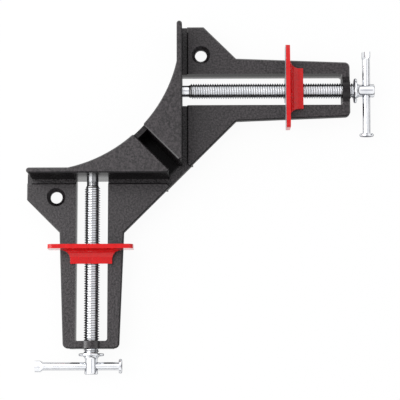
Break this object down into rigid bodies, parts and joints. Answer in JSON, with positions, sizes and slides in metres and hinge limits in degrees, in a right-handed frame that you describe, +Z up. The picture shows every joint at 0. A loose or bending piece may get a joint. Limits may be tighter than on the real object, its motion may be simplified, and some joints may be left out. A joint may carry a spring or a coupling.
{
  "type": "corner clamp",
  "caption": "Corner clamp for holding boards at a right angle: cored die-cast body with fixed fences and a screw-driven jaw on each slotted arm.",
  "frame": {"origin": "middle of the footprint, on the surface that the underside rests on", "axes": "+Z up; +X out along the right arm, square to the right fence; +Y the other way from the front arm, square to the front fence"},
  "size_m": [0.18, 0.18, 0.0305],
  "materials": {
    "body_paint": "black powder coat, satin",
    "jaw_paint": "red enamel, glossy",
    "zinc_plate": "bright zinc plate",
    "bare_steel": "machined, lightly oiled"
  },
  "bodies": {
    "clamp_body": {"casting": "body_paint"},
    "right_screw_set": {"right_spindle": "zinc_plate", "right_thrust_washer": "zinc_plate", "right_retaining_clip": "bare_steel"},
    "right_bar_set": {"right_tommy_bar": "zinc_plate"},
    "right_jaw_set": {"right_jaw": "jaw_paint", "right_jaw_nut": "bare_steel"},
    "front_screw_set": {"front_spindle": "zinc_plate", "front_thrust_washer": "zinc_plate", "front_retaining_clip": "bare_steel"},
    "front_bar_set": {"front_tommy_bar": "zinc_plate"},
    "front_jaw_set": {"front_jaw": "jaw_paint", "front_jaw_nut": "bare_steel"}
  },
  "joints": [
    {"name": "right_spindle_turn", "type": "hinge", "parent": "clamp_body", "child": "right_screw_set", "pos_m": [-0.01, 0.0566, 0.0066], "axis": [1, 0, 0], "range_deg": [-5673.6, 15235.2]},
    {"name": "right_jaw_slide", "type": "slide", "parent": "clamp_body", "child": "right_jaw_set", "axis": [1, 0, 0], "range_m": [-0.0529, 0.0197]},
    {"name": "right_bar_slide", "type": "slide", "parent": "right_screw_set", "child": "right_bar_set", "axis": [0, -0.9962, -0.0872], "range_m": [-0.0188, 0.0124]},
    {"name": "front_spindle_turn", "type": "hinge", "parent": "clamp_body", "child": "front_screw_set", "pos_m": [-0.0566, 0.01, 0.0066], "axis": [0, -1, 0], "range_deg": [-10972.8, 9936]},
    {"name": "front_jaw_slide", "type": "slide", "parent": "clamp_body", "child": "front_jaw_set", "axis": [0, -1, 0], "range_m": [-0.0345, 0.0381]},
    {"name": "front_bar_slide", "type": "slide", "parent": "front_screw_set", "child": "front_bar_set", "axis": [1, 0, 0], "range_m": [-0.0104, 0.0208]}
  ],
  "couplings": [
    {"joint": "right_jaw_slide", "follows": "right_spindle_turn", "m_per_rad": -0.00019894},
    {"joint": "front_jaw_slide", "follows": "front_spindle_turn", "m_per_rad": -0.00019894}
  ]
}
